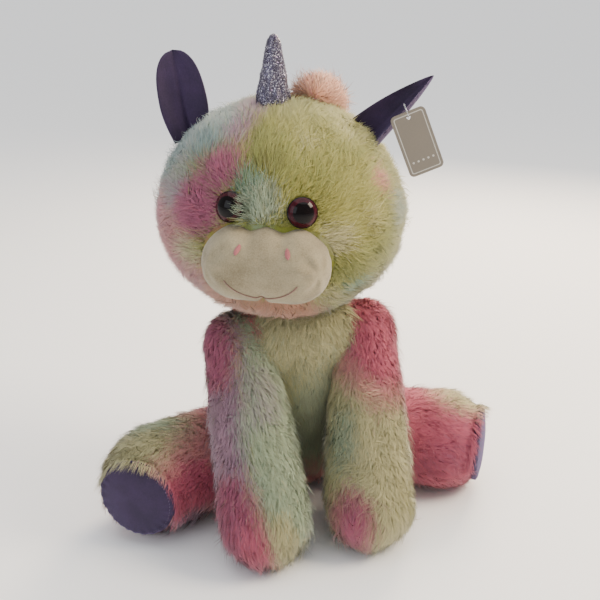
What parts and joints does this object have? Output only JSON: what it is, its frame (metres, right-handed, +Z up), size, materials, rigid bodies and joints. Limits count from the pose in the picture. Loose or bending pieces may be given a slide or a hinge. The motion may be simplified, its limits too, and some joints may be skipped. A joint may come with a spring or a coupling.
{
  "type": "plush unicorn",
  "caption": "Seated soft toy with a big round head, a cone horn, leaf ears, a wide muzzle, stubby legs with flat soles, and a card tag on one ear.",
  "frame": {"origin": "middle of the round seat panel, on the surface the toy sits on", "axes": "+Z up, the chest faces -Y, +X towards the toy's own left side"},
  "size_m": [0.3761, 0.3046, 0.4243],
  "materials": {
    "dyed_plush": "long-pile tie-dyed plush",
    "pale_plush": "long-pile pale plush",
    "seat_plush": "short pink plush",
    "peach_plush": "long fluffy peach pile",
    "purple_velour": "short dark purple velour",
    "cream_velour": "short cream velour",
    "glitter_fabric": "silver-lilac glitter fabric",
    "pink_thread": "satin stitch thread",
    "stuffing": "loose polyester fibre",
    "pellet_bag": "thin woven pouch of pellets",
    "eye_plastic": "glossy dark red plastic with a black pupil",
    "washer_plastic": "natural moulded plastic",
    "clear_plastic": "clear nylon",
    "tag_card": "coated taupe card"
  },
  "bodies": {
    "torso": {"seat_panel": "seat_plush", "torso_cover": "dyed_plush", "belly_panel": "pale_plush", "torso_stuffing": "stuffing", "seat_bean_bag": "pellet_bag"},
    "neck": {"neck_collar": "dyed_plush"},
    "head": {"head_cover": "dyed_plush", "head_stuffing": "stuffing", "muzzle_cover": "cream_velour", "muzzle_stuffing": "stuffing", "eye_left": "eye_plastic", "eye_right": "eye_plastic", "eye_washer_left": "washer_plastic", "eye_washer_right": "washer_plastic", "nostril_stitching": "pink_thread", "mouth_stitching": "pink_thread", "mane": "peach_plush"},
    "horn": {"horn_cover": "glitter_fabric", "horn_stuffing": "stuffing"},
    "ear_left": {"ear_left": "purple_velour"},
    "ear_right": {"ear_right": "purple_velour", "tag_loop": "clear_plastic"},
    "hang_tag": {"hang_tag": "tag_card"},
    "front_leg_left": {"front_leg_left_cover": "dyed_plush", "front_leg_left_stuffing": "stuffing"},
    "front_leg_right": {"front_leg_right_cover": "dyed_plush", "front_leg_right_stuffing": "stuffing"},
    "rear_leg_left": {"rear_leg_left_cover": "dyed_plush", "rear_leg_left_stuffing": "stuffing", "sole_left": "purple_velour"},
    "rear_leg_right": {"rear_leg_right_cover": "dyed_plush", "rear_leg_right_stuffing": "stuffing", "sole_right": "purple_velour"},
    "tail": {"tail": "peach_plush"}
  },
  "joints": [
    {"name": "head_turn", "type": "hinge", "parent": "torso", "child": "neck", "pos_m": [-0.004, -0.032, 0.164], "axis": [0, 0, 1], "range_deg": [-18, 36]},
    {"name": "head_nod", "type": "hinge", "parent": "neck", "child": "head", "pos_m": [-0.004, -0.032, 0.164], "axis": [-1, 0, 0], "range_deg": [-3, 8]},
    {"name": "horn_lean", "type": "hinge", "parent": "head", "child": "horn", "pos_m": [-0.02311, -0.04742, 0.37234], "axis": [0.9259, -0.3741, -0.0523], "range_deg": [-10, 10], "stiffness_Nm_per_rad": 0.3},
    {"name": "ear_left_fold", "type": "hinge", "parent": "head", "child": "ear_left", "pos_m": [-0.08695, -0.00437, 0.34925], "axis": [0.7687, -0.3106, 0.5592], "range_deg": [-25, 25], "stiffness_Nm_per_rad": 0.05},
    {"name": "ear_right_fold", "type": "hinge", "parent": "head", "child": "ear_right", "pos_m": [0.06229, -0.06251, 0.34787], "axis": [0.5835, -0.2357, -0.7771], "range_deg": [-25, 25], "stiffness_Nm_per_rad": 0.05},
    {"name": "front_leg_left_swing", "type": "hinge", "parent": "torso", "child": "front_leg_left", "pos_m": [-0.058, -0.05, 0.164], "axis": [-1, 0, 0], "range_deg": [0, 25]},
    {"name": "front_leg_right_swing", "type": "hinge", "parent": "torso", "child": "front_leg_right", "pos_m": [0.058, -0.05, 0.164], "axis": [-1, 0, 0], "range_deg": [0, 25]},
    {"name": "rear_leg_left_splay", "type": "hinge", "parent": "torso", "child": "rear_leg_left", "pos_m": [-0.05, -0.022, 0.048], "axis": [0, 0, 1], "range_deg": [-12, 2]},
    {"name": "rear_leg_right_splay", "type": "hinge", "parent": "torso", "child": "rear_leg_right", "pos_m": [0.05, -0.022, 0.048], "axis": [0, 0, 1], "range_deg": [-10, 12]},
    {"name": "tail_lift", "type": "hinge", "parent": "torso", "child": "tail", "pos_m": [0, 0.075, 0.06], "axis": [1, 0, 0], "range_deg": [0, 30], "stiffness_Nm_per_rad": 0.1},
    {"name": "tag_swing", "type": "hinge", "parent": "ear_right", "child": "hang_tag", "pos_m": [0.077, -0.093, 0.361], "axis": [-0.2588, -0.9659, 0], "range_deg": [-15, 25]}
  ]
}
